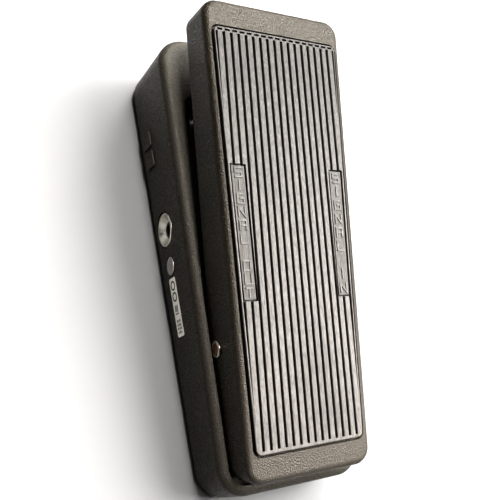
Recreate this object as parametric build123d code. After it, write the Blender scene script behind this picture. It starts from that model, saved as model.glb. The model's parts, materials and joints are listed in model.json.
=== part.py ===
"""Volume pedal: a rocking treadle on a die-cast housing, which turns a potentiometer through a rack.

Frame: +X to the right of the player, +Y towards the toe, +Z up. The origin is on the floor, under the
middle of the housing. Millimetres and degrees. The treadle stands part way through its travel.
"""
from build123d import *
from math import atan2, cos, degrees, pi, radians, sin, tan
import os

# ---- housing ---------------------------------------------------------------------------------------
HOUSING_LENGTH = 254.0
HALF_WIDTH_TOE = 53.5          # at the lower edge, at the toe end
HALF_WIDTH_HEEL = 44.1         # at the lower edge, at the heel end
CORNER_TOE = 18.0
CORNER_HEEL = 16.0
DRAFT = 2.0                    # degrees, inward towards the top
WALL = 3.0
DECK = 3.0                     # thickness of the top wall
EDGE_Z = 5.0                   # lower edge above the floor: the height of the feet
RIM_TOE = 43.5                 # rim height above the lower edge, at the toe end
RIM_HEEL = 27.0                # and at the heel end
RIM_ROUND = 4.7
RIM_WIDTH = 5.0                # rim left standing round the well
WELL_TOE_Y = 91.0              # where the well starts to drop below the rim
WELL_HEEL_DEPTH = 10.0         # below the rim, at the heel end
BELOW = 120.0                  # reach of construction solids past the housing

# ---- treadle, in its own frame: origin on the pivot axis, top face level ----------------------------
PIVOT_Y = -53.0
PIVOT_Z = 40.0
REST_TILT = 9.6                # toe up, as stored
SWEEP_DOWN = 5.4               # from rest to toe down
SWEEP_UP = 6.4                 # from rest to heel down
TREADLE_TOE = 180.9            # from the pivot axis
TREADLE_HEEL = 66.1
TREADLE_SIDE_TOE = 10.1        # from the housing's lower edge in to the treadle's side, at the toe
TREADLE_SIDE_HEEL = 6.8        # and at the heel
TREADLE_HALF_TOE = HALF_WIDTH_TOE - TREADLE_SIDE_TOE
TREADLE_HALF_HEEL = HALF_WIDTH_HEEL - TREADLE_SIDE_HEEL
TREADLE_CORNER = 9.0
TREADLE_ROUND = 3.6
TREADLE_TOP = 20.2             # top face above the pivot axis
TREADLE_PLATE = 4.0
SKIRT = 3.0
SKIRT_TOE_Z = -0.8             # lower edge of the skirt, at the toe
SKIRT_PIVOT_Z = -6.8           # and at the pivot
SKIRT_HEEL_Z = 3.2             # and at the heel
SKIRT_LOBE = 12.0              # half length of the level stretch at the pivot

# ---- rubber tread ------------------------------------------------------------------------------------
TREAD_TOE = 165.0
TREAD_HEEL = -51.6
TREAD_SIDE = 5.0               # margin of the treadle beside the tread
TREAD_HALF_TOE = TREADLE_HALF_TOE - TREAD_SIDE
TREAD_HALF_HEEL = TREADLE_HALF_HEEL - TREAD_SIDE
TREAD_CORNER = 3.0
TREAD_GAP = 1.3                # open line round the tread in its recess
RECESS = 2.0
TREAD_SHEET = 1.2
RIB_HEIGHT = 2.0
RIB_PITCH = 4.367
GROOVE = 1.15
EDGE_STRIP = 0.8               # left standing between a groove and the tread's long edge
HEEL_LIP = 1.7                 # left standing between the grooves and the heel edge
TOE_LIP = 2.7                  # and the toe edge
SLOT_INSET = 1.0               # a short slot crosses each rib's toe end, this far from the edge
SLOT = 1.1
PANEL_HALF_LENGTH = 34.0
PANEL_MIDDLE_Y = 57.3
PANEL_INNER_TOE = TREAD_HALF_TOE - 11.5
PANEL_INNER_HEEL = TREAD_HALF_HEEL - 6.6
PANEL_SLIT = 0.9
PANEL_EDGE = 2.0               # from the panel to the tread's long edge
PANEL_DROP = 0.45              # panel face below the rib tops
LETTER_RISE = 0.4
LETTER_HEIGHT = 4.7            # between the middles of the strokes
LETTER_WIDTH = 3.7
LETTER_STROKE = 0.8
LEFT_WORDS = "SIGNAL OUT"
RIGHT_WORDS = "SIGNAL IN"

# ---- pivot ------------------------------------------------------------------------------------------
SHAFT_R = 3.0
RUNNING = 0.05                 # radial clearance of the shaft in its bushings
BUSH_R = 4.5
BUSH_FLANGE_R = 6.5
BUSH_FLANGE = 1.0
SADDLE_GAP = 0.93              # from a bushing's flange to the treadle's skirt
PIVOT_SHARE = TREADLE_HEEL / (TREADLE_TOE + TREADLE_HEEL)
SADDLE_HALF = (TREADLE_HALF_HEEL + (TREADLE_HALF_TOE - TREADLE_HALF_HEEL) * PIVOT_SHARE - SKIRT
               - BUSH_FLANGE - SADDLE_GAP)
SADDLE_LENGTH = 14.0           # half length along Y at the axis
SADDLE_ABOVE = 8.0             # top above the axis
SADDLE_ROUND = 6.0
SADDLE_SIDE = 6.0              # wall that holds a bushing
CAP_R = 4.5
CAP_EDGE = 0.5
CAP_DOME = 0.7
CLAMP_HALF = 8.0
CLAMP_BOLT_Y = 7.2
CLAMP_BOLT_R = 1.75
CLAMP_POST_R = 3.2
BLOCK_HALF = 3.8
BLOCK_DROP = 5.5
CLAMP_PLATE = 1.5

# ---- rack, pinion and potentiometer ------------------------------------------------------------------
MODULE = 0.8
PINION_TEETH = 15
PRESSURE = 25.0
BACKLASH = 0.22
PINION_Y = 72.0
PINION_Z = 35.0
ARM_RISE = 3.0                 # angle of the link pin above the treadle's own level, at the pivot
RACK_X = -20.5
RACK_WIDTH = 7.0
RACK_WEB = 4.0                 # behind the tooth roots
RACK_BOTTOM = -14.5            # from the pinion axis along the rack, at mid travel
LINK_PIN_R = 1.5
LINK_CLEAR = 0.2
LINK_WANDER = 0.75             # how far the pin walks along the slot
LINK_HEAD_R = 4.0
EAR = 3.0
EAR_GAP = 0.8
POT_R = 8.0
POT_DEPTH = 9.5
POT_SHAFT_R = 3.0
BRACKET = 1.5
GUIDE_CLEAR = 0.15

# ---- deck opening ------------------------------------------------------------------------------------
OPENING_LEFT = -39.5
OPENING_WIDTH = 25.0
OPENING_HEEL_Y = 56.5
OPENING_TOE_Y = 90.0
OPENING_CORNER = 6.0

# ---- sockets, plug and marks on the sides --------------------------------------------------------------
JACK_Y = 19.7
JACK_HEIGHT = 11.4             # above the lower edge
JACK_BORE_R = 3.25
JACK_BORE = 9.0                # length of the narrow bore
JACK_THREAD_R = 4.75
JACK_RING_R = 9.7
JACK_RING_RISE = 1.2
JACK_HOLE_R = 8.3
JACK_MOUTH = -1.8              # the sleeve's end, from the machined flat
JACK_SEAT = -2.8               # the body's face, from the machined flat
JACK_BODY = (28.0, 19.0, 17.0)
SPOT_FACE = 0.9                # least depth of the flat that is machined for a socket or plug
PLUG_Y = -1.4
PLUG_R = 5.2
LABEL_Y = (-41.2, -8.0)
LABEL_Z = (6.6, 14.6)          # above the lower edge
PAD_SPANS = ((71.0, 80.5), (58.5, 68.5))
PAD_Z = (2.6, 13.4)

# ---- base plate, feet and bumpers -----------------------------------------------------------------------
PLATE = 1.5
PLATE_GAP = 0.4
FOOT_X = 32.0
FOOT_Y = 104.0
FOOT_R = 8.0
FOOT_SCREW_R = 1.7
FOOT_HEAD_R = 3.4
POST_R = 4.6
BUMPER_X = 18.0
BUMPER_R = 6.0
TOE_BUMPER_Y = 109.5
TOE_BUMPER_HEIGHT = 5.0
HEEL_BUMPER_Y = -103.5
HEEL_BUMPER_HEIGHT = 4.0
BUMPER_NECK_R = 2.4
STOP_R = 4.0
STOP_GAP = 0.3                 # left between a stop post and its bumper at the end of travel

# ---- circuit board ---------------------------------------------------------------------------------------
BOARD_HALF = 38.0
BOARD_LENGTH = 26.0
BOARD = 1.6
WIRE_R = 0.6


# ---- construction helpers ----------------------------------------------------------------------------------
def outline(heel_y, toe_y, half_heel, half_toe, corner_heel, corner_toe):
    """A trapezoid, narrow at the heel, with round corners."""
    corners = [(-half_heel, heel_y), (half_heel, heel_y), (half_toe, toe_y), (-half_toe, toe_y)]
    face = make_face(Polyline(*corners, close=True))
    at_heel = [v for v in face.vertices() if v.Y < (heel_y + toe_y) / 2]
    face = fillet(at_heel, corner_heel)
    at_toe = [v for v in face.vertices() if v.Y > toe_y - 1e-3]
    return fillet(at_toe, corner_toe)


def housing_outline(inset):
    """The housing's plan at its lower edge, moved inward by inset."""
    half = HOUSING_LENGTH / 2
    taper = (HALF_WIDTH_TOE - HALF_WIDTH_HEEL) / HOUSING_LENGTH
    return outline(-half + inset, half - inset,
                   HALF_WIDTH_HEEL + taper * inset - inset, HALF_WIDTH_TOE - taper * inset - inset,
                   max(CORNER_HEEL - inset, 1.0), max(CORNER_TOE - inset, 1.0))


def drafted(inset, low, high):
    """The housing's plan moved inward by inset, swept from low to high above the edge with its draft."""
    lean = tan(radians(DRAFT))
    faces = [Pos(0, 0, EDGE_Z + z) * housing_outline(inset + z * lean) for z in (low, high)]
    return loft(faces, ruled=True)


def rim_z(y):
    """Height of the rim above the floor at y."""
    share = (y + HOUSING_LENGTH / 2) / HOUSING_LENGTH
    return EDGE_Z + RIM_HEEL + (RIM_TOE - RIM_HEEL) * share


def well_z(y):
    """Height of the well's floor above the floor at y."""
    end = -HOUSING_LENGTH / 2
    drop = (rim_z(WELL_TOE_Y) - (rim_z(end) - WELL_HEEL_DEPTH)) / (WELL_TOE_Y - end)
    return rim_z(WELL_TOE_Y) - (WELL_TOE_Y - y) * drop


def rim_slope():
    return degrees(atan2(RIM_TOE - RIM_HEEL, HOUSING_LENGTH))


def well_slope():
    return degrees(atan2(well_z(1) - well_z(0), 1.0))


def side_prism(points, half):
    """A profile in the YZ plane, swept across the part from -half to half."""
    face = make_face(Polyline(*[(0, y, z) for y, z in points], close=True))
    return extrude(face, amount=half, dir=(1, 0, 0), both=True)


def x_cylinder(radius, x0, x1, y=0.0, z=0.0):
    """A cylinder along X from x0 to x1."""
    return Pos((x0 + x1) / 2, y, z) * Rot(0, 90, 0) * Cylinder(radius, abs(x1 - x0))


def post(radius, x, y, z0, z1):
    """An upright cylinder from z0 to z1."""
    return Pos(x, y, (z0 + z1) / 2) * Cylinder(radius, z1 - z0)


def block(x0, x1, y0, y1, z0, z1):
    return Pos((x0 + x1) / 2, (y0 + y1) / 2, (z0 + z1) / 2) * Box(x1 - x0, y1 - y0, z1 - z0)


def on_treadle(shape, tilt=REST_TILT):
    """Moves a shape from the treadle's own frame to its place on the pivot."""
    return Pos(0, PIVOT_Y, PIVOT_Z) * Rot(tilt, 0, 0) * shape


def wall_x(y, height):
    """Outer face of the housing's right wall at y and height above the lower edge."""
    share = (y + HOUSING_LENGTH / 2) / HOUSING_LENGTH
    return HALF_WIDTH_HEEL + (HALF_WIDTH_TOE - HALF_WIDTH_HEEL) * share - height * tan(radians(DRAFT))


def spot_x(y, radius):
    """Depth of a flat machined square to X round a point of the side wall, from the middle plane."""
    return min(wall_x(y - radius, JACK_HEIGHT + radius), wall_x(y + radius, JACK_HEIGHT + radius)) - SPOT_FACE / 2


def joined(shapes):
    """Fuses a list of shapes that touch or overlap into one."""
    total = shapes[0]
    for shape in shapes[1:]:
        total = total + shape
    return total


# ---- derived geometry -------------------------------------------------------------------------------------
MID_TILT = REST_TILT + (SWEEP_UP - SWEEP_DOWN) / 2
RACK_TILT = MID_TILT + ARM_RISE
PINION_R = MODULE * PINION_TEETH / 2
RACK_LINE = PINION_R + 1.25 * MODULE + RACK_WEB / 2     # pinion axis to the rack's middle line
ALONG = (-sin(radians(RACK_TILT)), cos(radians(RACK_TILT)))   # Y and Z of the rack's travel
ACROSS = (-cos(radians(RACK_TILT)), -sin(radians(RACK_TILT)))  # Y and Z from the pinion to the rack
ARM = (PIVOT_Y - PINION_Y) * ACROSS[0] + (PIVOT_Z - PINION_Z) * ACROSS[1] - RACK_LINE
PIN_ALONG = (PIVOT_Y - PINION_Y) * ALONG[0] + (PIVOT_Z - PINION_Z) * ALONG[1]
REST_SHIFT = -ARM * radians(MID_TILT - REST_TILT)       # rack's place at rest, along its travel
JACK_FACE = spot_x(JACK_Y, JACK_RING_R)
PLUG_FACE = spot_x(PLUG_Y, PLUG_R)
WEB_X = (RACK_X - RACK_WIDTH / 2 - 4.0, RACK_X - RACK_WIDTH / 2 - 4.0 + BRACKET)
TREAD_TAPER = (TREAD_HALF_TOE - TREAD_HALF_HEEL) / (TREAD_TOE - TREAD_HEEL)


def on_rack(shape, shift=0.0):
    """Moves a shape from the rack's frame (X, across, along; origin on the pinion axis) to its place."""
    return Pos(0, PINION_Y + shift * ALONG[0], PINION_Z + shift * ALONG[1]) * Rot(RACK_TILT, 0, 0) * shape


# ---- housing pieces -----------------------------------------------------------------------------------------
def saddle(half, inset):
    """The hump that carries the pivot, as a solid that reaches down to the lower edge."""
    low = EDGE_Z - PIVOT_Z
    body = block(-half, half, -SADDLE_LENGTH + inset, SADDLE_LENGTH - inset, low, SADDLE_ABOVE - inset)
    top = [e for e in body.edges().filter_by(Axis.X) if e.center().Z > 0]
    body = fillet(top, max(SADDLE_ROUND - inset, 1.0))
    return Pos(0, PIVOT_Y, PIVOT_Z) * body


def below_plane(height, reach=BELOW):
    """Everything under a line over the housing's length, given by height(y)."""
    far = HOUSING_LENGTH / 2 + reach
    return side_prism([(-far, -reach), (far, -reach), (far, height(far)), (-far, height(-far))], reach)


def base_shell():
    top_line = RIM_TOE + 10
    shell = drafted(0.0, 0.0, top_line) & below_plane(rim_z)
    top_face = shell.faces().sort_by(Axis.Z)[-1]
    shell = fillet(top_face.edges(), RIM_ROUND)

    # Well under the treadle, and the cavity beneath it.
    past = HOUSING_LENGTH
    over_floor = side_prism([(WELL_TOE_Y, well_z(WELL_TOE_Y)), (-past, well_z(-past)), (-past, past),
                             (WELL_TOE_Y, past)], past)
    well = drafted(RIM_WIDTH, 0.0, top_line) & over_floor
    cavity = drafted(WALL, 0.0, top_line) & below_plane(lambda y: rim_z(y) - DECK)
    keep = side_prism([(WELL_TOE_Y + DECK, well_z(WELL_TOE_Y + DECK) - DECK), (-past, well_z(-past) - DECK),
                       (-past, past), (WELL_TOE_Y + DECK, past)], past)
    cavity = cavity - keep

    # Hump for the pivot, hollow from below.
    hump = saddle(SADDLE_HALF, 0.0) & (drafted(RIM_WIDTH + 1.0, 0.0, top_line + 20))
    hollow = saddle(SADDLE_HALF - SADDLE_SIDE, 3.5)
    shell = (shell - well) + (hump & side_prism([(-past, well_z(-past) - DECK), (past, well_z(past) - DECK),
                                                 (past, past), (-past, past)], past))
    shell = shell - (cavity + hollow)

    # Posts for the foot screws, the clamp bolts and the potentiometer bracket.
    posts = []
    seat = EDGE_Z + PLATE
    for x in (-FOOT_X, FOOT_X):
        posts.append(post(POST_R, x, FOOT_Y, seat, rim_z(FOOT_Y) - DECK / 2))
        posts.append(post(POST_R, x, -FOOT_Y, seat, well_z(-FOOT_Y) - DECK / 2))
    for y in (-CLAMP_BOLT_Y, CLAMP_BOLT_Y):
        posts.append(post(CLAMP_POST_R, 0, PIVOT_Y + y, PIVOT_Z - BLOCK_DROP, PIVOT_Z + SADDLE_ABOVE - 2.0))
    for x, y in bracket_screw_places():
        posts.append(post(3.6, x, y, bracket_top(), rim_z(y) - DECK / 2))
    for side in (-1, 1):
        posts.append(x_cylinder(JACK_RING_R + 0.8, side * (JACK_FACE + JACK_SEAT), side * (JACK_FACE + 0.2),
                                JACK_Y, EDGE_Z + JACK_HEIGHT))
    shell = joined([shell, *posts])

    holes = [deck_opening(), Pos(0, 0, EDGE_Z) * extrude(housing_outline(WALL + DECK / 8), amount=PLATE)]
    for x in (-FOOT_X, FOOT_X):
        for y in (-FOOT_Y, FOOT_Y):
            holes.append(post(FOOT_SCREW_R, x, y, seat - 1, seat + 10))
    for y in (-CLAMP_BOLT_Y, CLAMP_BOLT_Y):
        holes.append(post(CLAMP_BOLT_R, 0, PIVOT_Y + y, PIVOT_Z - BLOCK_DROP - 1, PIVOT_Z + 2.0))
    for x, y in bracket_screw_places():
        holes.append(post(1.25, x, y, bracket_top() - 1, bracket_top() + 5.5))
    for x in (-BUMPER_X, BUMPER_X):
        holes.append(post(BUMPER_NECK_R, x, TOE_BUMPER_Y, EDGE_Z + 20, 90))
        holes.append(post(BUMPER_NECK_R, x, HEEL_BUMPER_Y, EDGE_Z + 10, 90))
    for side in (-1, 1):
        holes.append(x_cylinder(BUSH_R, side * (SADDLE_HALF - SADDLE_SIDE - 1), side * (SADDLE_HALF + 1),
                                PIVOT_Y, PIVOT_Z))
        holes.append(x_cylinder(JACK_HOLE_R, side * (JACK_FACE - 12), side * (JACK_FACE + 9),
                                JACK_Y, EDGE_Z + JACK_HEIGHT))
        holes.append(x_cylinder(JACK_RING_R + 0.5, side * JACK_FACE, side * (JACK_FACE + 9),
                                JACK_Y, EDGE_Z + JACK_HEIGHT))
    holes.append(x_cylinder(PLUG_R - 1.2, -PLUG_FACE + 8, -PLUG_FACE - 9, PLUG_Y, EDGE_Z + JACK_HEIGHT))
    holes.append(x_cylinder(PLUG_R + 0.4, -PLUG_FACE, -PLUG_FACE - 9, PLUG_Y, EDGE_Z + JACK_HEIGHT))
    for hole in holes:
        shell = shell - hole
    return shell + side_pads()


def side_pads():
    """Two plain raised pads on the left wall, near the toe."""
    rise = 0.9
    skin = drafted(-rise, 0.0, RIM_HEEL) - drafted(0.4, -0.5, RIM_HEEL + 1)
    pads = []
    for y0, y1 in PAD_SPANS:
        window = block(-HALF_WIDTH_TOE - 5, 0, y0, y1, EDGE_Z + PAD_Z[0], EDGE_Z + PAD_Z[1])
        window = fillet(window.edges().filter_by(Axis.X), 1.2)
        pads.append(skin & window)
    return pads[0] + pads[1]


def deck_opening():
    middle_x = OPENING_LEFT + OPENING_WIDTH / 2
    middle_y = (OPENING_HEEL_Y + OPENING_TOE_Y) / 2
    plan = RectangleRounded(OPENING_WIDTH, OPENING_TOE_Y - OPENING_HEEL_Y, OPENING_CORNER)
    return Pos(middle_x, middle_y, EDGE_Z + 26) * extrude(plan, amount=40)


def bottom_plate():
    plan = housing_outline(WALL + PLATE_GAP)
    plate = Pos(0, 0, EDGE_Z) * extrude(plan, amount=PLATE)
    for x in (-FOOT_X, FOOT_X):
        for y in (-FOOT_Y, FOOT_Y):
            plate = plate - post(FOOT_SCREW_R + 0.3, x, y, 0, 20)
    return plate


def rubber_feet():
    feet = []
    for x in (-FOOT_X, FOOT_X):
        for y in (-FOOT_Y, FOOT_Y):
            foot = Cone(FOOT_R - 1.0, FOOT_R, EDGE_Z, align=(Align.CENTER, Align.CENTER, Align.MIN))
            foot = foot - Cylinder(FOOT_HEAD_R + 0.4, 2.6, align=(Align.CENTER, Align.CENTER, Align.MIN))
            foot = foot - Cylinder(FOOT_SCREW_R + 0.2, 20)
            feet.append(Pos(x, y, 0) * foot)
    return feet


def foot_screws():
    screws = []
    for x in (-FOOT_X, FOOT_X):
        for y in (-FOOT_Y, FOOT_Y):
            head = Pos(x, y, 2.6) * Cylinder(FOOT_HEAD_R, 1.8, align=(Align.CENTER, Align.CENTER, Align.MAX))
            head = chamfer(head.edges().sort_by(Axis.Z)[0], 0.5)
            shank = post(FOOT_SCREW_R - 0.05, x, y, 2.6, EDGE_Z + PLATE + 9.0)
            slots = [Pos(x, y, 0.8) * Rot(0, 0, a) * Box(4.0, 0.7, 1.6) for a in (0, 90)]
            screws.append(head + shank - slots[0] - slots[1])
    return screws


def bumper(height, slope, x, y, seat_z):
    """A rubber bumper whose neck snaps through the deck. slope is the deck's."""
    pad = Cylinder(BUMPER_R, height, align=(Align.CENTER, Align.CENTER, Align.MIN))
    pad = fillet(pad.edges().sort_by(Axis.Z)[-1], 1.2)
    neck = Cylinder(BUMPER_NECK_R - 0.1, DECK + 0.6, align=(Align.CENTER, Align.CENTER, Align.MAX))
    bulb = Pos(0, 0, -DECK - 0.6) * Cone(1.8, BUMPER_NECK_R + 0.9, 2.6,
                                         align=(Align.CENTER, Align.CENTER, Align.MAX))
    tilted = Rot(slope, 0, 0) * pad
    upright = neck + bulb
    return Pos(x, y, seat_z) * (tilted + (upright - Rot(slope, 0, 0) * Pos(0, 0, 20) * Box(40, 40, 40)))


def toe_bumpers():
    seat = rim_z(TOE_BUMPER_Y)
    return [bumper(TOE_BUMPER_HEIGHT, rim_slope(), x, TOE_BUMPER_Y, seat) for x in (-BUMPER_X, BUMPER_X)]


def heel_bumpers():
    seat = well_z(HEEL_BUMPER_Y)
    return [bumper(HEEL_BUMPER_HEIGHT, well_slope(), x, HEEL_BUMPER_Y, seat) for x in (-BUMPER_X, BUMPER_X)]


def rating_label():
    """A thin blank sticker on the left wall, which follows its draft and taper."""
    skin = drafted(-0.18, 0.0, RIM_HEEL) - drafted(0.0, -0.5, RIM_HEEL + 1)
    window = block(-HALF_WIDTH_TOE - 5, 0, *LABEL_Y, EDGE_Z + LABEL_Z[0], EDGE_Z + LABEL_Z[1])
    window = fillet(window.edges().filter_by(Axis.X), 1.2)
    return skin & window


def hole_plug():
    """A domed metal plug that closes the spare hole beside the left socket."""
    dome_rise = 1.3
    ball = (PLUG_R ** 2 + dome_rise ** 2) / (2 * dome_rise)
    head = Pos(0, 0, dome_rise - ball) * Sphere(ball) & Cylinder(PLUG_R, 2 * dome_rise, align=(
        Align.CENTER, Align.CENTER, Align.MIN))
    flange = Cylinder(PLUG_R, 0.5, align=(Align.CENTER, Align.CENTER, Align.MAX))
    stem = Cylinder(PLUG_R - 1.3, 5.0, align=(Align.CENTER, Align.CENTER, Align.MAX))
    stem = stem - Pos(0, 0, -1.5) * Cylinder(PLUG_R - 2.2, 5.0, align=(Align.CENTER, Align.CENTER, Align.MAX))
    plug = head + flange + Pos(0, 0, -0.5) * stem
    return Pos(-PLUG_FACE - 0.5, PLUG_Y, EDGE_Z + JACK_HEIGHT) * Rot(0, -90, 0) * plug


# ---- treadle pieces --------------------------------------------------------------------------------------------
def treadle_outline(inset):
    taper = (TREADLE_HALF_TOE - TREADLE_HALF_HEEL) / (TREADLE_TOE + TREADLE_HEEL)
    return outline(-TREADLE_HEEL + inset, TREADLE_TOE - inset,
                   TREADLE_HALF_HEEL + (taper - 1) * inset, TREADLE_HALF_TOE - (taper + 1) * inset,
                   TREADLE_CORNER - inset, TREADLE_CORNER - inset)


def tread_outline(inset):
    return outline(TREAD_HEEL + inset, TREAD_TOE - inset,
                   TREAD_HALF_HEEL - inset, TREAD_HALF_TOE - inset,
                   max(TREAD_CORNER - inset, 0.6), max(TREAD_CORNER - inset, 0.6))


def stop_bottom(y, limit_tilt, bumper_top):
    """Height in the treadle's frame at which a stop post at y meets its bumper at a limit of travel."""
    tilt = radians(limit_tilt)
    return (bumper_top + STOP_GAP - PIVOT_Z - y * sin(tilt)) / cos(tilt)


def stop_posts():
    """Posts under the treadle, which end just above the bumpers at each limit of travel."""
    down, up = REST_TILT - SWEEP_DOWN, REST_TILT + SWEEP_UP
    toe_y = (TOE_BUMPER_Y - PIVOT_Y) / cos(radians(down))
    toe_top = rim_z(TOE_BUMPER_Y) + TOE_BUMPER_HEIGHT + STOP_R * tan(radians(rim_slope()))
    heel_y = (HEEL_BUMPER_Y - PIVOT_Y + 2.0) / cos(radians(up))
    heel_top = well_z(HEEL_BUMPER_Y) + HEEL_BUMPER_HEIGHT + STOP_R * tan(radians(up))
    ceiling = TREADLE_TOP - TREADLE_PLATE / 2
    posts = []
    for x in (-BUMPER_X, BUMPER_X):
        posts.append(post(STOP_R, x, toe_y, stop_bottom(toe_y, down, toe_top), ceiling))
        posts.append(post(STOP_R, x, heel_y, stop_bottom(heel_y, up, heel_top), ceiling))
    return posts


def pin_place():
    """Y and Z of the link pin in the treadle's frame."""
    return ARM * cos(radians(ARM_RISE)), ARM * sin(radians(ARM_RISE))


def ear_spans():
    gap = RACK_WIDTH / 2 + EAR_GAP
    return [(RACK_X - gap - EAR, RACK_X - gap), (RACK_X + gap, RACK_X + gap + EAR)]


def treadle():
    depth = TREADLE_TOP - SKIRT_PIVOT_Z + 2
    body = Pos(0, 0, TREADLE_TOP - depth) * extrude(treadle_outline(0.0), amount=depth)
    top = body.faces().sort_by(Axis.Z)[-1]
    body = fillet(top.edges(), TREADLE_ROUND)
    body = body - Pos(0, 0, TREADLE_TOP - TREADLE_PLATE - depth) * extrude(treadle_outline(SKIRT), amount=depth)
    far = 10.0
    under = [(TREADLE_TOE + far, SKIRT_TOE_Z), (SKIRT_LOBE, SKIRT_PIVOT_Z), (-SKIRT_LOBE, SKIRT_PIVOT_Z),
             (-TREADLE_HEEL, SKIRT_HEEL_Z), (-TREADLE_HEEL - far, SKIRT_HEEL_Z),
             (-TREADLE_HEEL - far, -BELOW), (TREADLE_TOE + far, -BELOW)]
    body = body - side_prism(under, 60)

    pin_y, pin_z = pin_place()
    ceiling = TREADLE_TOP - TREADLE_PLATE / 2
    additions = stop_posts()
    for x0, x1 in ear_spans():
        additions.append(x_cylinder(LINK_HEAD_R, x0, x1, pin_y, pin_z))
        additions.append(block(x0, x1, pin_y - LINK_HEAD_R, pin_y + LINK_HEAD_R, pin_z, ceiling))
    for y in (35.0, 75.0, 140.0):
        half = TREADLE_HALF_HEEL + 1.0
        additions.append(block(-half, half, y - 1.2, y + 1.2, TREADLE_TOP - TREADLE_PLATE - 4.0, ceiling))
    body = joined([body, *additions])

    recess = Pos(0, 0, TREADLE_TOP - RECESS) * extrude(tread_outline(-TREAD_GAP), amount=10)
    body = body - recess
    body = body - x_cylinder(SHAFT_R, -60, 60)
    body = body - x_cylinder(LINK_PIN_R, RACK_X - 20, RACK_X + 20, pin_y, pin_z)
    return on_treadle(body)


def panel_corners(side, grow):
    """The lettered panel's corners on one side, moved outward by grow. side is -1 or 1."""
    y0, y1 = PANEL_MIDDLE_Y - PANEL_HALF_LENGTH - grow, PANEL_MIDDLE_Y + PANEL_HALF_LENGTH + grow
    edge = PANEL_EDGE - grow
    outer = [TREAD_HALF_HEEL + (y - TREAD_HEEL) * TREAD_TAPER - edge for y in (y0, y1)]
    return [(side * outer[0], y0), (side * (PANEL_INNER_HEEL - grow), y0),
            (side * (PANEL_INNER_TOE - grow), y1), (side * outer[1], y1)]


def flat_prism(corners, z0, z1):
    face = make_face(Polyline(*corners, close=True))
    return Pos(0, 0, z0) * extrude(face, amount=z1 - z0, dir=(0, 0, 1))


# Strokes of the stencil letters on a grid 2 wide and 4 high, as open runs of points.
GLYPHS = {
    "S": [[(2, 4), (0, 4), (0, 2), (2, 2), (2, 0), (0, 0)]],
    "I": [[(1, 0), (1, 4)]],
    "G": [[(2, 4), (0, 4), (0, 0), (2, 0), (2, 2), (1, 2)]],
    "N": [[(0, 0), (0, 4), (2, 0), (2, 4)]],
    "A": [[(0, 0), (0, 4), (2, 4), (2, 0)], [(0, 2), (2, 2)]],
    "L": [[(0, 4), (0, 0), (2, 0)]],
    "O": [[(0, 0), (0, 4), (2, 4), (2, 0), (0, 0)]],
    "U": [[(0, 4), (0, 0), (2, 0), (2, 4)]],
    "T": [[(0, 4), (2, 4)], [(1, 4), (1, 0)]],
}


def letter(name, x, y, z0, z1):
    """A raised letter of plain strokes, centred on x and y."""
    bars = []
    for run in GLYPHS[name]:
        places = [((px / 2 - 0.5) * LETTER_WIDTH, (py / 4 - 0.5) * LETTER_HEIGHT) for px, py in run]
        for (ax, ay), (bx, by) in zip(places, places[1:]):
            turn = degrees(atan2(by - ay, bx - ax))
            length = ((bx - ax) ** 2 + (by - ay) ** 2) ** 0.5 + LETTER_STROKE
            bar = Pos((ax + bx) / 2, (ay + by) / 2, 0) * Rot(0, 0, turn) * Box(length, LETTER_STROKE, z1 - z0)
            bars.append(bar)
    return Pos(x, y, (z0 + z1) / 2) * joined(bars)


def lettering(words, side, z0, z1):
    """Upright letters set one under another down a panel, from the toe."""
    step = 2 * PANEL_HALF_LENGTH / len(words)
    letters = []
    for i, name in enumerate(words):
        y = PANEL_MIDDLE_Y + PANEL_HALF_LENGTH - (i + 0.5) * step
        outer = TREAD_HALF_HEEL + (y - TREAD_HEEL) * TREAD_TAPER - PANEL_EDGE
        share = (y - PANEL_MIDDLE_Y + PANEL_HALF_LENGTH) / (2 * PANEL_HALF_LENGTH)
        inner = PANEL_INNER_HEEL + (PANEL_INNER_TOE - PANEL_INNER_HEEL) * share
        if name != " ":
            letters.append(letter(name, side * (outer + inner) / 2, y, z0, z1))
    return letters


def groove_cutter():
    """The solid that one groove takes away, wider at its mouth, a little longer than the tread."""
    half, mouth = GROOVE / 2, GROOVE / 2 + 0.28
    top = RIB_HEIGHT
    profile = [(-half, 0), (half, 0), (half, top - 0.45), (mouth, top), (mouth, top + 1), (-mouth, top + 1),
               (-mouth, top), (-half, top - 0.45)]
    face = make_face(Polyline(*[(x, TREAD_HEEL - 2, z) for x, z in profile], close=True))
    return extrude(face, amount=TREAD_TOE - TREAD_HEEL + 4, dir=(0, 1, 0))


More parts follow.
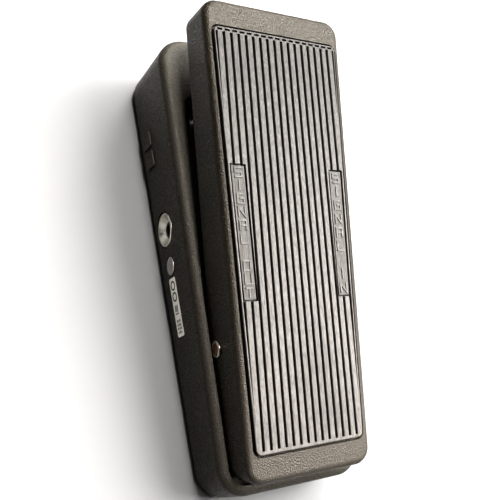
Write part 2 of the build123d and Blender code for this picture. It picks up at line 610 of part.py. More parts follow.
def rubber_tread():
    low = TREADLE_TOP - RECESS
    sheet_top = low + TREAD_SHEET
    rib_top = sheet_top + RIB_HEIGHT
    tread = Pos(0, 0, low) * extrude(tread_outline(0.0), amount=TREAD_SHEET + RIB_HEIGHT)
    top = tread.faces().sort_by(Axis.Z)[-1]
    tread = fillet(top.edges(), 0.5)

    # Grooves between the ribs, and a slot across each rib's toe end.
    y0, y1 = TREAD_HEEL + HEEL_LIP, TREAD_TOE - TOE_LIP
    taper = (TREAD_HALF_TOE - TREAD_HALF_HEEL) / (TREAD_TOE - TREAD_HEEL)
    pool = Pos(0, 0, sheet_top) * extrude(outline(
        y0, y1, TREAD_HALF_HEEL + taper * HEEL_LIP - EDGE_STRIP, TREAD_HALF_TOE - taper * TOE_LIP - EDGE_STRIP,
        0.6, 0.6), amount=5)
    cuts = []
    count = int(TREAD_HALF_TOE / RIB_PITCH)
    for i in range(-count - 1, count + 1):
        cuts.append((Pos((i + 0.5) * RIB_PITCH, 0, sheet_top) * groove_cutter()) & pool)
    for i in range(-count, count + 1):
        half = (RIB_PITCH - GROOVE) / 2 - 0.15
        if abs(i) * RIB_PITCH + half < TREAD_HALF_TOE - TREAD_CORNER / 2:
            x = i * RIB_PITCH
            cuts.append(block(x - half, x + half, TREAD_TOE - SLOT_INSET - SLOT, TREAD_TOE - SLOT_INSET,
                              sheet_top, rib_top + 1))
    for cut in cuts:
        tread = tread - cut

    # A flat lettered panel on each side, inside a slit.
    for side, words in ((-1, LEFT_WORDS), (1, RIGHT_WORDS)):
        tread = tread - flat_prism(panel_corners(side, PANEL_SLIT), sheet_top, rib_top + 1)
        tread = tread + flat_prism(panel_corners(side, 0.0), sheet_top - 0.2, rib_top - PANEL_DROP)
        letters = lettering(words, side, rib_top - PANEL_DROP - 0.2, rib_top - PANEL_DROP + LETTER_RISE)
        tread = joined([tread, *letters])
    return on_treadle(tread)


def pivot_half_width():
    taper = (TREADLE_HALF_TOE - TREADLE_HALF_HEEL) / (TREADLE_TOE + TREADLE_HEEL)
    return TREADLE_HALF_HEEL + taper * TREADLE_HEEL


def pivot_shaft():
    end = pivot_half_width() + 0.15 + CAP_EDGE + CAP_DOME - 0.1
    rod = x_cylinder(SHAFT_R, -end, end)
    rod = chamfer(rod.edges(), 0.4)
    return on_treadle(rod)


def pivot_caps():
    """Domed push-on rings, which grip the shaft's ends against the skirts."""
    caps = []
    seat = pivot_half_width() + 0.15
    for side in (-1, 1):
        ring = Cylinder(CAP_R, CAP_EDGE, align=(Align.CENTER, Align.CENTER, Align.MIN))
        ring = ring + Pos(0, 0, CAP_EDGE) * Cone(CAP_R, SHAFT_R + 0.35, CAP_DOME,
                                                 align=(Align.CENTER, Align.CENTER, Align.MIN))
        ring = ring - Cylinder(SHAFT_R, 10)
        caps.append(on_treadle(Pos(side * seat, 0, 0) * Rot(0, side * 90, 0) * ring))
    return caps


def pivot_bushings():
    bushings = []
    for side in (-1, 1):
        sleeve = x_cylinder(BUSH_R, side * (SADDLE_HALF - SADDLE_SIDE), side * SADDLE_HALF)
        flange = x_cylinder(BUSH_FLANGE_R, side * SADDLE_HALF, side * (SADDLE_HALF + BUSH_FLANGE))
        bore = x_cylinder(SHAFT_R + RUNNING, side * 20, side * 50)
        bushings.append(Pos(0, PIVOT_Y, PIVOT_Z) * (sleeve + flange - bore))
    return bushings


def friction_block():
    body = block(-CLAMP_HALF, CLAMP_HALF, -BLOCK_HALF, BLOCK_HALF, -BLOCK_DROP, -0.4)
    body = body - x_cylinder(SHAFT_R + RUNNING, -30, 30)
    return Pos(0, PIVOT_Y, PIVOT_Z) * body


def tension_plate():
    reach = CLAMP_BOLT_Y + 2.6
    plate = block(-CLAMP_HALF, CLAMP_HALF, -reach, reach, -BLOCK_DROP - CLAMP_PLATE, -BLOCK_DROP)
    plate = fillet(plate.edges().filter_by(Axis.Z), 1.5)
    for y in (-CLAMP_BOLT_Y, CLAMP_BOLT_Y):
        plate = plate - post(CLAMP_BOLT_R + 0.2, 0, y, -20, 0)
    return Pos(0, PIVOT_Y, PIVOT_Z) * plate


def tension_bolts():
    bolts = []
    low = -BLOCK_DROP - CLAMP_PLATE
    for y in (-CLAMP_BOLT_Y, CLAMP_BOLT_Y):
        head = Pos(0, y, low - 2.6) * extrude(RegularPolygon(3.4, 6), amount=2.6)
        shank = post(CLAMP_BOLT_R - 0.05, 0, y, low, 1.5)
        bolts.append(Pos(0, PIVOT_Y, PIVOT_Z) * (head + shank))
    return bolts


# ---- rack, pinion and potentiometer pieces ------------------------------------------------------------------------
def tooth_angle(radius):
    """Half the angle of a pinion tooth at a radius, with its share of the backlash."""
    base = PINION_R * cos(radians(PRESSURE))
    at_pitch = (pi * MODULE / 2 - BACKLASH / 2) / (2 * PINION_R)
    def involute(r):
        roll = ((r / base) ** 2 - 1) ** 0.5
        return roll - atan2(roll, 1.0)
    return at_pitch + involute(PINION_R) - involute(max(radius, base))


def pinion_gear():
    """An involute pinion with a hub. A tooth gap faces the rack at rest where the rack has a tooth."""
    base = PINION_R * cos(radians(PRESSURE))
    tip, root = PINION_R + MODULE, PINION_R - 1.25 * MODULE
    low = max(base, root)
    radii = [low + (tip - low) * k / 4 for k in range(5)]
    phase = -REST_SHIFT / PINION_R
    teeth = []
    for i in range(PINION_TEETH):
        turn = phase + 2 * pi * (i + 0.5) / PINION_TEETH + pi
        right = [(r, turn - tooth_angle(r)) for r in radii]
        left = [(r, turn + tooth_angle(r)) for r in reversed(radii)]
        foot = tooth_angle(low)
        points = [(root - 0.3, turn - foot), *right, *left, (root - 0.3, turn + foot)]
        corners = [(0, r * cos(a), r * sin(a)) for r, a in points]
        face = make_face(Polyline(*corners, close=True))
        teeth.append(extrude(face, amount=RACK_WIDTH / 2, dir=(1, 0, 0), both=True))
    gear = joined([x_cylinder(root, -RACK_WIDTH / 2, RACK_WIDTH / 2), *teeth])
    hub = x_cylinder(4.6, RACK_WIDTH / 2, RACK_WIDTH / 2 + 3.2)
    gear = gear + hub
    gear = gear - x_cylinder(POT_SHAFT_R, -20, 20)
    gear = gear - post(1.0, RACK_WIDTH / 2 + 1.6, 0, POT_SHAFT_R - 1, 8)
    return on_rack(Pos(RACK_X, 0, 0) * gear)


def pinion_set_screw():
    screw = post(0.95, RACK_WIDTH / 2 + 1.6, 0, POT_SHAFT_R, 4.9)
    return on_rack(Pos(RACK_X, 0, 0) * screw)


def gear_rack():
    """A straight rack. In its frame Y runs from the rack to the pinion's far side and Z along the travel."""
    line = -PINION_R
    root, tip = line - 1.25 * MODULE, line + MODULE
    back = root - RACK_WEB
    pitch = pi * MODULE
    head = PIN_ALONG
    low = RACK_BOTTOM
    high = 16.0
    body = block(-RACK_WIDTH / 2, RACK_WIDTH / 2, back, root, low, head)
    lean = tan(radians(PRESSURE))
    half = pi * MODULE / 4 - BACKLASH / 4
    first, last = int(low / pitch) , int(high / pitch)
    teeth = []
    for i in range(first, last + 1):
        middle = i * pitch
        wide, narrow = half + 1.25 * MODULE * lean, half - MODULE * lean
        corners = [(0, root - 0.2, middle - wide), (0, tip, middle - narrow), (0, tip, middle + narrow),
                   (0, root - 0.2, middle + wide)]
        face = make_face(Polyline(*corners, close=True))
        tooth = extrude(face, amount=RACK_WIDTH / 2, dir=(1, 0, 0), both=True)
        teeth.append(tooth)
    limits = block(-RACK_WIDTH, RACK_WIDTH, back - 1, tip + 1, low, head + 20)
    body = joined([body, *[t & limits for t in teeth]])
    eye = x_cylinder(LINK_HEAD_R, -RACK_WIDTH / 2, RACK_WIDTH / 2, -RACK_LINE, head)
    body = body + eye
    slot_r = LINK_PIN_R + LINK_CLEAR
    # The pin walks towards the pivot, away from the pinion, by its arc's rise at each end of travel.
    ends = [x_cylinder(slot_r, -20, 20, -RACK_LINE + shift, head) for shift in (0.1, -LINK_WANDER)]
    middle = block(-20, 20, -RACK_LINE - LINK_WANDER, -RACK_LINE + 0.1, head - slot_r, head + slot_r)
    body = body - ends[0] - ends[1] - middle
    return on_rack(Pos(RACK_X, 0, 0) * body, REST_SHIFT)


def link_pin():
    (x0, _), (_, x1) = ear_spans()
    pin_y, pin_z = pin_place()
    return on_treadle(x_cylinder(LINK_PIN_R, x0 - 1.6, x1 + 1.6, pin_y, pin_z))


def pin_clips():
    """Push-on rings that hold the link pin in its ears."""
    (x0, _), (_, x1) = ear_spans()
    pin_y, pin_z = pin_place()
    clips = []
    for near, far in ((x0 - 0.8, x0), (x1, x1 + 0.8)):
        ring = x_cylinder(LINK_HEAD_R - 0.8, near, far, pin_y, pin_z)
        clips.append(on_treadle(ring - x_cylinder(LINK_PIN_R, near - 1, far + 1, pin_y, pin_z)))
    return clips


def rack_guide():
    """A nylon channel behind the rack, screwed to the bracket."""
    back = -(RACK_LINE + RACK_WEB / 2) - GUIDE_CLEAR
    cheek_in = RACK_WIDTH / 2 + GUIDE_CLEAR
    left = WEB_X[1] - RACK_X
    body = block(left, cheek_in + 2.0, back - 4.2, back + 2.6, -6.0, 6.0)
    channel = block(-cheek_in, cheek_in, back, back + 10, -10, 10)
    body = body - channel
    body = body - x_cylinder(1.1, left - 1, left + 8, back - 2.1, 0)
    return on_rack(Pos(RACK_X, 0, 0) * body)


def guide_screw():
    back = -(RACK_LINE + RACK_WEB / 2) - GUIDE_CLEAR
    left = WEB_X[0] - RACK_X
    head = x_cylinder(2.1, left - 1.4, left, back - 2.1, 0)
    shank = x_cylinder(1.05, left, left + BRACKET + 6, back - 2.1, 0)
    return on_rack(Pos(RACK_X, 0, 0) * (head + shank))


def bracket_top():
    """The bracket's flange sits flat against its two posts at this height."""
    return EDGE_Z + 33.0


def bracket_screw_places():
    toe_y = OPENING_TOE_Y + 5.0
    return [(WEB_X[0] + 5.5, toe_y), (WEB_X[0] + 14.5, toe_y)]


def pot_bracket():
    """A bent steel plate: an upright web for the potentiometer and a flange under the deck."""
    top = bracket_top()
    toe_y = OPENING_TOE_Y + 9.5
    web = block(*WEB_X, PINION_Y - 17.0, toe_y, PINION_Z - 8.5, top)
    corners = web.edges().filter_by(Axis.X).group_by(Axis.Z)[0]
    web = fillet(corners, 4.0)
    flange = block(WEB_X[0], WEB_X[0] + 19.0, toe_y - 9.0, toe_y, top - BRACKET, top)
    plate = web + flange
    plate = plate - x_cylinder(3.7, -60, 0, PINION_Y, PINION_Z)
    for x, y in bracket_screw_places():
        plate = plate - post(1.6, x, y, 0, 90)
    back = -(RACK_LINE + RACK_WEB / 2) - GUIDE_CLEAR
    plate = plate - on_rack(Pos(RACK_X, 0, 0) * x_cylinder(1.3, -20, 0, back - 2.1, 0))
    return plate


def bracket_screws():
    screws = []
    low = bracket_top() - BRACKET
    for x, y in bracket_screw_places():
        head = post(2.6, x, y, low - 1.7, low)
        screws.append(head + post(1.2, x, y, low, bracket_top() + 5.0))
    return screws


def potentiometer():
    """The sealed body, with its threaded neck and three lugs."""
    face = WEB_X[0]
    body = x_cylinder(POT_R, face - POT_DEPTH, face, PINION_Y, PINION_Z)
    rear = body.edges().filter_by(GeomType.CIRCLE).sort_by(Axis.X)[0]
    body = fillet(rear, 1.0)
    neck = x_cylinder(3.5, face, WEB_X[1] + 2.2, PINION_Y, PINION_Z)
    body = body + neck
    body = body - x_cylinder(POT_SHAFT_R + 0.1, face - 2.0, WEB_X[1] + 5, PINION_Y, PINION_Z)
    wafer = block(face - 4.2, face - 2.6, PINION_Y - POT_R - 1.2, PINION_Y, PINION_Z - 7.6, PINION_Z + 3.6)
    return (body + wafer) - x_cylinder(POT_SHAFT_R + 0.1, face - 2.0, WEB_X[1] + 5, PINION_Y, PINION_Z)


def lug_places():
    """Middle of each lug's outer end."""
    return [(WEB_X[0] - 3.4, PINION_Y - POT_R - 4.6, PINION_Z + dz) for dz in (-6.0, -2.0, 2.0)]


def pot_lugs():
    lugs = []
    for x, y, z in lug_places():
        lugs.append(block(x - 0.25, x + 0.25, y, PINION_Y - POT_R - 1.2, z - 0.9, z + 0.9))
    return lugs


def pot_nut():
    nut = Rot(0, 90, 0) * extrude(RegularPolygon(5.6, 6), amount=2.0)
    nut = Pos(WEB_X[1], PINION_Y, PINION_Z) * nut
    return nut - x_cylinder(3.5, -60, 0, PINION_Y, PINION_Z)


def pot_shaft():
    end = RACK_X + RACK_WIDTH / 2 + 3.7
    rod = x_cylinder(POT_SHAFT_R, WEB_X[0] - 1.8, end, PINION_Y, PINION_Z)
    return chamfer(rod.edges().sort_by(Axis.X)[-1], 0.4)


# ---- sockets and circuit board ---------------------------------------------------------------------------------------
def jack_frame(side, shape):
    """Moves a shape that points out along +X to the socket on one side."""
    turned = shape if side > 0 else Rot(0, 0, 180) * shape
    return Pos(side * JACK_FACE, JACK_Y, EDGE_Z + JACK_HEIGHT) * turned


def jack_body(side):
    """Moulded body with the threaded sleeve; a blind bore takes the plug."""
    length, width, height = JACK_BODY
    body = block(JACK_SEAT - length, JACK_SEAT, -width / 2, width / 2, -height / 2, height / 2)
    body = fillet(body.edges().filter_by(Axis.X), 1.2)
    body = body + x_cylinder(JACK_THREAD_R, JACK_SEAT - 1, JACK_MOUTH)
    body = body - x_cylinder(JACK_BORE_R, JACK_MOUTH - JACK_BORE, 10)
    body = body - x_cylinder(JACK_BORE_R + 0.6, JACK_SEAT - length + 1.5, JACK_MOUTH - JACK_BORE + 0.1)
    return jack_frame(side, body)


def jack_ring(side):
    """A dished ring nut. It clamps the wall between its flange and the socket's body."""
    rise, collar = JACK_RING_RISE, JACK_THREAD_R + 1.15
    profile = [(JACK_THREAD_R, JACK_SEAT + 0.3), (collar, JACK_SEAT + 0.3), (collar, JACK_MOUTH - 0.2),
               (JACK_HOLE_R - 0.2, -0.2), (JACK_HOLE_R - 0.2, 0.0), (JACK_RING_R, 0.0),
               (JACK_RING_R, rise - 0.5), (JACK_RING_R - 0.5, rise), (JACK_RING_R - 0.9, rise),
               (JACK_THREAD_R, JACK_MOUTH + 0.1)]
    face = make_face(Polyline(*[(x, r, 0) for r, x in profile], close=True))
    ring = revolve(face, axis=Axis.X)
    for turn in (0, 90):
        notch = Rot(turn, 0, 0) * block(JACK_MOUTH - 0.5, 1, -JACK_THREAD_R - 1.2, JACK_THREAD_R + 1.2, -0.6, 0.6)
        ring = ring - notch
    return jack_frame(side, ring)


def board_z():
    return EDGE_Z + JACK_HEIGHT + JACK_BODY[2] / 2


def circuit_board():
    return block(-BOARD_HALF, BOARD_HALF, JACK_Y - BOARD_LENGTH / 2, JACK_Y + BOARD_LENGTH / 2,
                 board_z(), board_z() + BOARD)


def film_capacitors():
    top = board_z() + BOARD
    bodies = []
    for x in (2.0, 14.0):
        body = block(x - 3.6, x + 3.6, JACK_Y - 8.5, JACK_Y - 3.5, top, top + 5.5)
        bodies.append(fillet(body.edges(), 0.7))
    return bodies


def resistors():
    top = board_z() + BOARD
    bodies = []
    for y in (0.5, 4.5, 8.5):
        body = Pos(8.0, JACK_Y + y, top + 1.2) * Rot(0, 90, 0) * Cylinder(1.15, 6.4)
        body = fillet(body.edges(), 0.5)
        leads = [block(8.0 + s * 4.6 - 0.3, 8.0 + s * 4.6 + 0.3, JACK_Y + y - 0.3, JACK_Y + y + 0.3,
                       top, top + 1.5) for s in (-1, 1)]
        arms = [block(8.0 + min(s * 3.0, s * 4.9), 8.0 + max(s * 3.0, s * 4.9), JACK_Y + y - 0.3,
                      JACK_Y + y + 0.3, top + 0.9, top + 1.5) for s in (-1, 1)]
        bodies.append(joined([body, *leads, *arms]))
    return bodies


def header_pins():
    """Top middle of each pin of the wire header."""
    return [(-16.0 - 3.2 * i, JACK_Y + 9.0, board_z() + BOARD + 3.0) for i in range(3)]


def wire_header():
    top = board_z() + BOARD
    middle = header_pins()[1]
    body = block(middle[0] - 5.2, middle[0] + 5.2, middle[1] - 2.2, middle[1] + 2.2, top, top + 3.0)
    return fillet(body.edges().filter_by(Axis.Z), 0.5)


def hookup_wires():
    """Three wires from the header to the potentiometer's lugs: straight runs joined by arcs."""
    wires = []
    for pin, lug in zip(header_pins(), reversed(lug_places())):
        level = pin[2] + 3.2
        points = [pin, (pin[0], pin[1], level), (pin[0], pin[1] + 8.0, level + 0.6),
                  (lug[0], lug[1] - 8.0, lug[2] + 0.3), (lug[0], lug[1], lug[2])]
        path = FilletPolyline(*points, radius=[1.3, 3.2, 3.2])
        section = Plane(path @ 0, z_dir=path % 0) * Circle(WIRE_R)
        wires.append(sweep(section, path=path))
    return wires


# ---- everything --------------------------------------------------------------------------------------------------------
PIECES = {
    "base_shell": base_shell,
    "bottom_plate": bottom_plate,
    "rubber_feet": rubber_feet,
    "foot_screws": foot_screws,
    "toe_bumpers": toe_bumpers,
    "heel_bumpers": heel_bumpers,
    "rating_label": rating_label,
    "hole_plug": hole_plug,
    "treadle": treadle,
    "rubber_tread": rubber_tread,
    "pivot_shaft": pivot_shaft,
    "pivot_caps": pivot_caps,
    "pivot_bushings": pivot_bushings,
    "friction_block": friction_block,
    "tension_plate": tension_plate,
    "tension_bolts": tension_bolts,
    "pinion_gear": pinion_gear,
    "pinion_set_screw": pinion_set_screw,
    "gear_rack": gear_rack,
    "link_pin": link_pin,
    "pin_clips": pin_clips,
    "rack_guide": rack_guide,
    "guide_screw": guide_screw,
    "pot_bracket": pot_bracket,
    "bracket_screws": bracket_screws,
    "potentiometer": potentiometer,
    "pot_lugs": pot_lugs,
    "pot_nut": pot_nut,
    "pot_shaft": pot_shaft,
    "output_jack_body": lambda: jack_body(-1),
    "output_jack_ring": lambda: jack_ring(-1),
    "input_jack_body": lambda: jack_body(1),
    "input_jack_ring": lambda: jack_ring(1),
    "circuit_board": circuit_board,
    "film_capacitors": film_capacitors,
    "resistors": resistors,
    "wire_header": wire_header,
    "hookup_wires": hookup_wires,
}

os.makedirs("parts", exist_ok=True)
for name, make in PIECES.items():
    made = make()
    shape = Compound(children=list(made)) if isinstance(made, list) else made
    export_step(shape, f"parts/{name}.step")

print(f"link arm {ARM:.3f} mm, rack travel {ARM * radians(SWEEP_UP + SWEEP_DOWN):.2f} mm, "
      f"rack direction Y {ALONG[0]:.5f} Z {ALONG[1]:.5f}")
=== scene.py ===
"""Volume pedal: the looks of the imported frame. Metres, in the frame of the CAD."""
import bpy, bmesh, json, math
from mathutils import Matrix, Vector


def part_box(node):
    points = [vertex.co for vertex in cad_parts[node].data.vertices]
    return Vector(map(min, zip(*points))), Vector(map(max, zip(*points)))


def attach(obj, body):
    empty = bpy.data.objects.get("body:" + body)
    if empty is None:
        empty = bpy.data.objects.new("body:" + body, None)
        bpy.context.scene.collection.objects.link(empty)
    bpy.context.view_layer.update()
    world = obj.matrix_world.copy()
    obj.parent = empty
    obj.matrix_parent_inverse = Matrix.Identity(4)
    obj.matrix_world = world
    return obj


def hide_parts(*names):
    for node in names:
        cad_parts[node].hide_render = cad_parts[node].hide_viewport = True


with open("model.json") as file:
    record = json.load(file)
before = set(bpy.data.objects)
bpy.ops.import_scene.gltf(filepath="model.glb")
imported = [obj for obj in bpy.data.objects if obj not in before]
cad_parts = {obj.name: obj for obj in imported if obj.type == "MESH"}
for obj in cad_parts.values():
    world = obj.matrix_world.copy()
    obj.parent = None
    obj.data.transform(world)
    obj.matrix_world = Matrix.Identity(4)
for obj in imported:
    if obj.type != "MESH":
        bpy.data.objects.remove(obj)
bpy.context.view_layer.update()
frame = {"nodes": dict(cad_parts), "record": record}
nodes = frame["nodes"]

MM = 0.001
HOUSING_LENGTH = 254.0 * MM
HALF_WIDTH_TOE = 53.5 * MM              # of the housing, at its lower edge
HALF_WIDTH_HEEL = 44.1 * MM
DRAFT = math.radians(2.0)               # of the housing's walls
EDGE_Z = 5.0 * MM                       # lower edge of the housing above the floor
FOOT_X, FOOT_Y = 32.0 * MM, 104.0 * MM
PIVOT = Vector((0.0, -53.0, 40.0)) * MM
TILT = math.radians(9.6)
TREADLE_TOP = 20.2 * MM                 # top face above the pivot axis
RIB_TOP = TREADLE_TOP + 1.2 * MM
RIB_PITCH = 4.367 * MM
RIB_PHASE = RIB_PITCH / 2               # a rib lies on the middle line
TREAD_UP = Vector((0.0, -math.sin(TILT), math.cos(TILT)))
TREAD_ALONG = Vector((0.0, math.cos(TILT), math.sin(TILT)))
SHARP_EDGE = math.radians(35)           # edges sharper than this are not shaded smooth
DAYLIGHT = (1.0, 0.985, 0.965)


# ---- camera ------------------------------------------------------------------------------------
def camera():
    """Above the left side, with the object's toe end up and away in the picture."""
    azimuth, elevation, roll = (math.radians(a) for a in (62.086, 56.026, 56.848))
    forward = Vector((math.sin(azimuth) * math.cos(elevation), math.cos(azimuth) * math.cos(elevation),
                      -math.sin(elevation)))
    level = Vector((math.cos(azimuth), -math.sin(azimuth), 0.0))
    over = level.cross(forward)
    right = math.cos(roll) * level + math.sin(roll) * over
    up = -math.sin(roll) * level + math.cos(roll) * over
    data = bpy.data.cameras.new("camera")
    data.sensor_width = 36.0
    data.lens = 46.05
    data.clip_start = 0.01
    cam = bpy.data.objects.new("camera", data)
    bpy.context.scene.collection.objects.link(cam)
    turn = Matrix((right, up, -forward)).transposed().to_4x4()
    cam.matrix_world = Matrix.Translation((-0.18514, -0.09279, 0.32908 + EDGE_Z)) @ turn
    bpy.context.scene.camera = cam


camera()


# ---- floor and light ----------------------------------------------------------------------------
def area_light(name, place, target, size, power, colour, spread=180):
    """A round soft light at place, aimed at target. Size in metres, power in watts, spread in degrees."""
    data = bpy.data.lights.new(name, "AREA")
    data.shape = "DISK"
    data.size = size
    data.energy = power
    data.color = colour
    data.spread = math.radians(spread)
    lamp = bpy.data.objects.new(name, data)
    lamp.location = place
    lamp.rotation_euler = (Vector(target) - Vector(place)).to_track_quat("-Z", "Y").to_euler()
    bpy.context.scene.collection.objects.link(lamp)


def from_direction(azimuth, elevation, distance):
    """A place seen from the object towards azimuth (0 is +Y, 90 is +X) and elevation, in degrees."""
    a, e = math.radians(azimuth), math.radians(elevation)
    return Vector((math.sin(a) * math.cos(e), math.cos(a) * math.cos(e), math.sin(e))) * distance


def studio():
    """A plain pale floor, soft light from above on the right, and a white surrounding."""
    r = 6.0                                             # half the floor's width
    mesh = bpy.data.meshes.new("floor")
    mesh.from_pydata([(-r, -r, 0), (r, -r, 0), (r, r, 0), (-r, r, 0)], [], [(0, 1, 2, 3)])
    floor = bpy.data.objects.new("floor", mesh)
    bpy.context.scene.collection.objects.link(floor)
    mat = bpy.data.materials.new("floor")
    mat.use_nodes = True
    shader = mat.node_tree.nodes["Principled BSDF"]
    shader.inputs["Base Color"].default_value = (0.35, 0.35, 0.355, 1)
    shader.inputs["Roughness"].default_value = 0.9
    shader.inputs["Specular IOR Level"].default_value = 0.2
    mesh.materials.append(mat)
    world = bpy.data.worlds.new("world")
    world.use_nodes = True
    tree = world.node_tree
    tree.nodes["Background"].inputs["Color"].default_value = (1.0, 1.0, 1.0, 1)
    height = tree.nodes.new("ShaderNodeSeparateXYZ")
    tree.links.new(tree.nodes.new("ShaderNodeTexCoord").outputs["Generated"], height.inputs[0])
    horizon = tree.nodes.new("ShaderNodeMapRange")          # a pale band at the horizon, dimmer overhead
    for key, value in (("From Min", 0.05), ("From Max", 0.30), ("To Min", 0.60), ("To Max", 0.03)):
        horizon.inputs[key].default_value = value
    tree.links.new(height.outputs["Z"], horizon.inputs["Value"])
    tree.links.new(horizon.outputs[0], tree.nodes["Background"].inputs["Strength"])
    bpy.context.scene.world = world
    area_light("key", from_direction(84, 50, 0.9), (0.12, -0.02, 0.02), 0.80, 5.6, DAYLIGHT, 90)
    area_light("toe_side", from_direction(28, 38, 0.85), (0.02, 0.06, 0.04), 0.45, 2.2, DAYLIGHT, 110)
    area_light("overhead", from_direction(350, 70, 0.9), (0, 0, 0.04), 0.24, 4.8, (1.0, 0.98, 0.95))
    area_light("room", Vector((0.6, 0.8, 5.0)), (0, 0, 0), 4.0, 80, DAYLIGHT)
    bpy.context.scene.view_settings.view_transform = "Standard"
    bpy.context.scene.view_settings.look = "High Contrast"


studio()


# ---- material building ----------------------------------------------------------------------------
class Graph:
    """A short way to write a node tree."""

    def __init__(self, name):
        self.mat = bpy.data.materials.new(name)
        self.mat.use_nodes = True
        self.tree = self.mat.node_tree
        self.shader = self.tree.nodes["Principled BSDF"]
        self.place = self.tree.nodes.new("ShaderNodeTexCoord").outputs["Object"]

    def node(self, kind, inputs=None, **settings):
        made = self.tree.nodes.new(kind)
        for key, value in settings.items():
            setattr(made, key, value)
        for key, value in (inputs or {}).items():
            self.feed(made.inputs[key], value)
        return made

    def feed(self, socket, value):
        if isinstance(value, bpy.types.NodeSocket):
            self.tree.links.new(value, socket)
        elif isinstance(value, bpy.types.Node):
            self.tree.links.new(value.outputs[0], socket)
        else:
            socket.default_value = value

    def scaled(self, x, y, z):
        """The place stretched along the axes, so that a noise of scale 1 has x, y and z cells a metre."""
        return self.node("ShaderNodeMapping", {"Vector": self.place, "Scale": (x, y, z)}).outputs[0]

    def noise(self, scale, detail=3.0, rough=0.55, vector=None, distortion=0.0):
        return self.node("ShaderNodeTexNoise", {
            "Vector": self.place if vector is None else vector, "Scale": scale, "Detail": detail,
            "Roughness": rough, "Distortion": distortion}).outputs[0]

    def cells(self, scale):
        cells = self.node("ShaderNodeTexVoronoi", {"Vector": self.place, "Scale": scale})
        return cells.outputs["Distance"]

    def span(self, value, low, high, to_low=0.0, to_high=1.0):
        """Brings low..high of the value to to_low..to_high, and holds it there past the ends."""
        return self.node("ShaderNodeMapRange", {
            "Value": value, "From Min": low, "From Max": high,
            "To Min": to_low, "To Max": to_high}).outputs[0]

    def math(self, operation, a, b=0.0):
        made = self.node("ShaderNodeMath", operation=operation)
        self.feed(made.inputs[0], a)
        self.feed(made.inputs[1], b)
        return made.outputs[0]

    def mix(self, factor, a, b):
        made = self.node("ShaderNodeMix", data_type="RGBA")
        self.feed(made.inputs[0], factor)
        for socket, value in ((made.inputs[6], a), (made.inputs[7], b)):
            self.feed(socket, (*value, 1) if isinstance(value, tuple) else value)
        return made.outputs[2]

    def along(self, direction):
        """Distance of the shaded point from the origin along a direction."""
        made = self.node("ShaderNodeVectorMath", operation="DOT_PRODUCT")
        self.feed(made.inputs[0], self.place)
        made.inputs[1].default_value = direction
        return made.outputs["Value"]

    def bump(self, height, distance, strength):
        return self.node("ShaderNodeBump", {
            "Height": height, "Distance": distance, "Strength": strength}).outputs[0]

    def finish(self, **inputs):
        names = {"colour": "Base Color", "rough": "Roughness", "metal": "Metallic", "normal": "Normal",
                 "specular": "Specular IOR Level"}
        for key, value in inputs.items():
            self.feed(self.shader.inputs[names[key]], value)
        return self.mat


def coated_casting(name, scuffed):
    """Black powder coat with a coarse grain and painted glints (sparse lighter specks in the base colour).
    The treadle's is scuffed, with dust towards the heel;
    the housing's has painted top light: every face that looks up is painted lighter, broken by a fine
    speckle."""
    g = Graph(name)
    grain = g.noise(1050, 2.0, 0.6)
    pits = g.cells(1500)
    fine = g.noise(2600, 1.0, 0.5)
    broad = g.noise(14, 3.0, 0.5)
    base = g.mix(g.span(broad, 0.35, 0.65), (0.015, 0.0112, 0.0062), (0.023, 0.0178, 0.0110))
    if scuffed:
        dust = g.span(g.along(TREAD_ALONG), 0.02, -0.10)
        dust = g.math("MULTIPLY", dust, g.span(g.along(TREAD_UP), 0.0665, 0.0685))
        base = g.mix(g.math("MULTIPLY", dust, 0.5), base, (0.13, 0.117, 0.104))
    else:
        # painted top light: faces that look up get a lighter colour, broken by a fine speckle
        level = g.node("ShaderNodeSeparateXYZ", {"Vector": g.node("ShaderNodeNewGeometry").outputs["Normal"]})
        upwards = g.span(level.outputs["Z"], 0.45, 0.97)
        painted_top_light = g.math("MULTIPLY", upwards, g.span(fine, 0.30, 0.60, 0.55, 1.0))
        base = g.mix(painted_top_light, base, (0.115, 0.106, 0.089))
    # painted glints: sparse lighter specks mixed into the base colour
    painted_glint = g.math("MULTIPLY", g.span(grain, 0.56, 0.66), g.span(fine, 0.48, 0.60))
    colour = g.mix(g.math("MULTIPLY", painted_glint, 0.7), base, (0.16, 0.15, 0.135))
    if scuffed:
        lines = g.noise(1.0, 2.0, 0.7, g.scaled(900, 30, 160), 0.6)
        patches = g.span(g.noise(26, 2.0, 0.5), 0.58, 0.68)
        scratch = g.math("MULTIPLY", g.span(lines, 0.71, 0.75), patches)
        colour = g.mix(g.math("MULTIPLY", scratch, 0.6), colour, (0.26, 0.24, 0.22))
    height = g.math("ADD", grain, g.math("MULTIPLY", pits, 0.5))
    height = g.math("ADD", height, g.math("MULTIPLY", fine, 0.15))
    rough = g.span(grain, 0.35, 0.66, 0.52, 0.20)
    g.shader.inputs["Specular Tint"].default_value = (1.0, 0.97, 0.91, 1)
    return g.finish(colour=colour, rough=rough, specular=0.36, normal=g.bump(height, 0.00038, 0.9))


